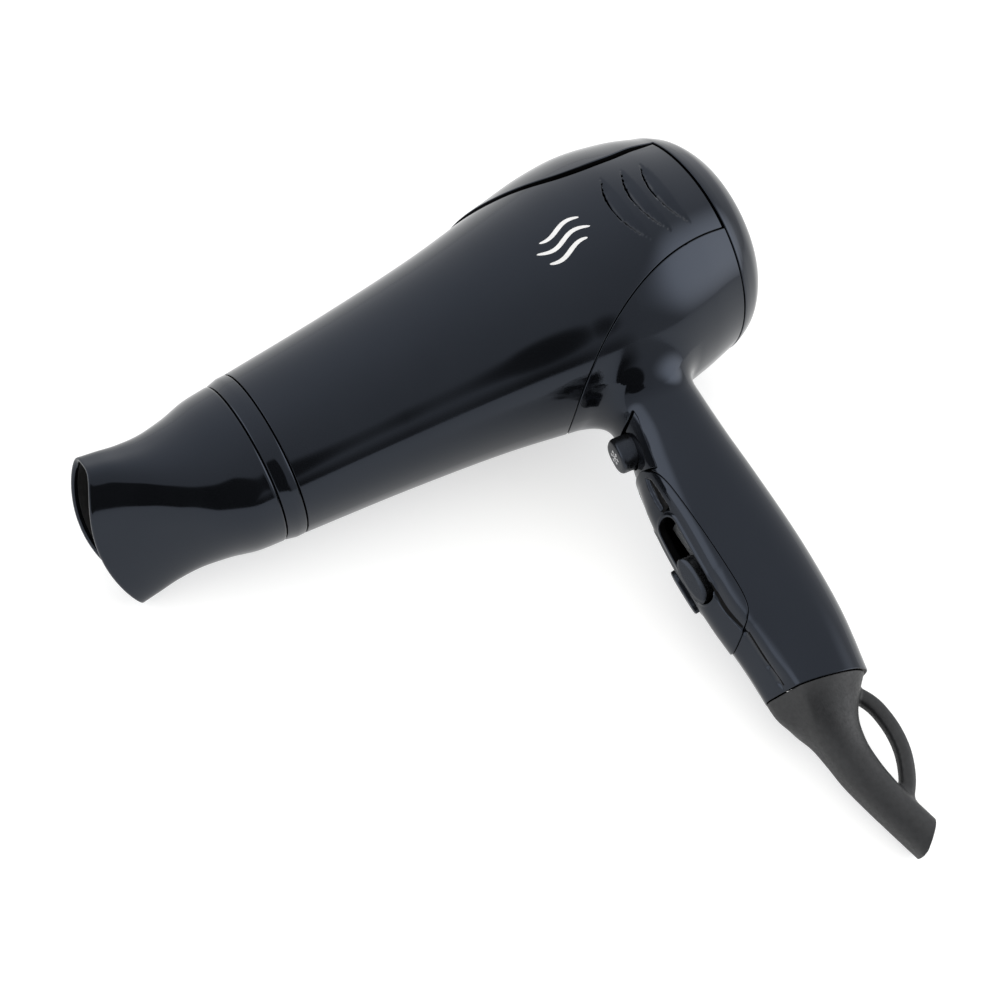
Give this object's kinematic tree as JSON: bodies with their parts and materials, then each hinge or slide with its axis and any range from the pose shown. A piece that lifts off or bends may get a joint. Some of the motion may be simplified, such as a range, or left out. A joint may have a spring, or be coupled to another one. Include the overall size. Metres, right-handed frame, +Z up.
{
  "type": "travel hair dryer",
  "caption": "Compact corded-type hair dryer with turning concentrator nozzle, slide switches, cool-shot button and a hanging loop on its cord guard; cord left out.",
  "frame": {"origin": "centre of the bounding box at floor level, with the dryer lying on its right side", "axes": "+X from the nozzle toward the rear grille, +Y from the handle's foot toward the barrel, +Z up from the floor"},
  "size_m": [0.2086, 0.2254, 0.079],
  "materials": {
    "gloss": "polished black moulding",
    "trim": "satin black moulding",
    "matte": "fine matte black moulding",
    "inner": "plain dark heat-proof moulding",
    "steel": "plated steel",
    "mica": "mica sheet",
    "wire": "resistance wire",
    "ceramic": "phenolic and ceramic body",
    "board": "solder-masked circuit board",
    "casing": "moulded switch casing"
  },
  "bodies": {
    "casing": {"barrel_shell_left": "gloss", "barrel_shell_right": "gloss", "handle_shell_left": "gloss", "handle_shell_right": "gloss", "rear_cover": "gloss", "rear_grille": "matte", "outlet_grille": "inner", "switch_panel": "gloss", "button_trim": "trim", "cord_guard": "matte", "fan_duct": "inner", "motor_body": "steel", "rectifier_board": "board", "mica_board_upright": "mica", "mica_board_level": "mica", "mica_sleeve": "mica", "heating_coil_front": "wire", "heating_coil_rear": "wire", "thermostat": "ceramic", "thermal_fuse": "steel", "heat_switch": "casing", "speed_switch": "casing", "cool_shot_switch": "casing", "noise_capacitor": "casing", "cord_clamp": "inner", "handle_screw_1": "steel", "handle_screw_2": "steel", "handle_screw_3": "steel"},
    "collar": {"concentrator_collar": "gloss"},
    "nozzle": {"concentrator_nozzle": "gloss"},
    "cool_shot": {"cool_shot_button": "matte", "cool_shot_spring": "steel"},
    "heat_knob": {"heat_slider": "trim"},
    "speed_knob": {"speed_slider": "trim"},
    "rotor": {"fan_impeller": "inner", "motor_shaft": "steel"}
  },
  "joints": [
    {"name": "concentrator_pull", "type": "slide", "parent": "casing", "child": "collar", "axis": [-0.9949, 0.0174, -0.0994], "range_m": [0, 0.03]},
    {"name": "nozzle_turn", "type": "hinge", "parent": "collar", "child": "nozzle", "pos_m": [-0.05908, 0.07477, 0.0274], "axis": [-0.9949, 0.0174, -0.0994], "continuous": true},
    {"name": "cool_shot_press", "type": "slide", "parent": "casing", "child": "cool_shot", "axis": [0.9894, -0.1203, 0.0808], "range_m": [0, 0.002], "stiffness_N_per_m": 900, "springref_m": -0.001},
    {"name": "heat_slide", "type": "slide", "parent": "casing", "child": "heat_knob", "axis": [0.0809, 0.9804, 0.1798], "range_m": [0, 0.0115]},
    {"name": "speed_slide", "type": "slide", "parent": "casing", "child": "speed_knob", "axis": [0.0809, 0.9804, 0.1798], "range_m": [0, 0.0115]},
    {"name": "fan_spin", "type": "hinge", "parent": "casing", "child": "rotor", "pos_m": [0.05335, 0.07281, 0.03862], "axis": [-0.9949, 0.0174, -0.0994], "continuous": true}
  ]
}
